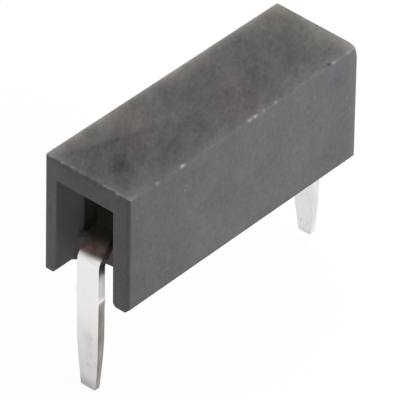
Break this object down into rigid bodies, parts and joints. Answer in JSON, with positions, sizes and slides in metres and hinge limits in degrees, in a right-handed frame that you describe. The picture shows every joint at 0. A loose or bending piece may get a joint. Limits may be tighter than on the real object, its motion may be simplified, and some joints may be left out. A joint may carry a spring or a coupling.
{
  "type": "right-angle female header",
  "caption": "Board socket for a square header post: dark moulded block with an arched front end, holding a formed strip contact with a flat solder tail at each end.",
  "frame": {"origin": "on the board surface midway between the two tails, in the plane of the housing's underside", "axes": "+Z away from the board, -Y towards the front end where the post goes in, +X across the row"},
  "size_m": [0.0026, 0.008, 0.0063],
  "materials": {
    "moulded_plastic": "dull mottled dark grey, lighter and scuffed along the edges",
    "tinned_strip": "bright tin plate over copper alloy, lightly scuffed"
  },
  "bodies": {
    "root": {"housing": "moulded_plastic", "contact": "tinned_strip"}
  },
  "joints": []
}
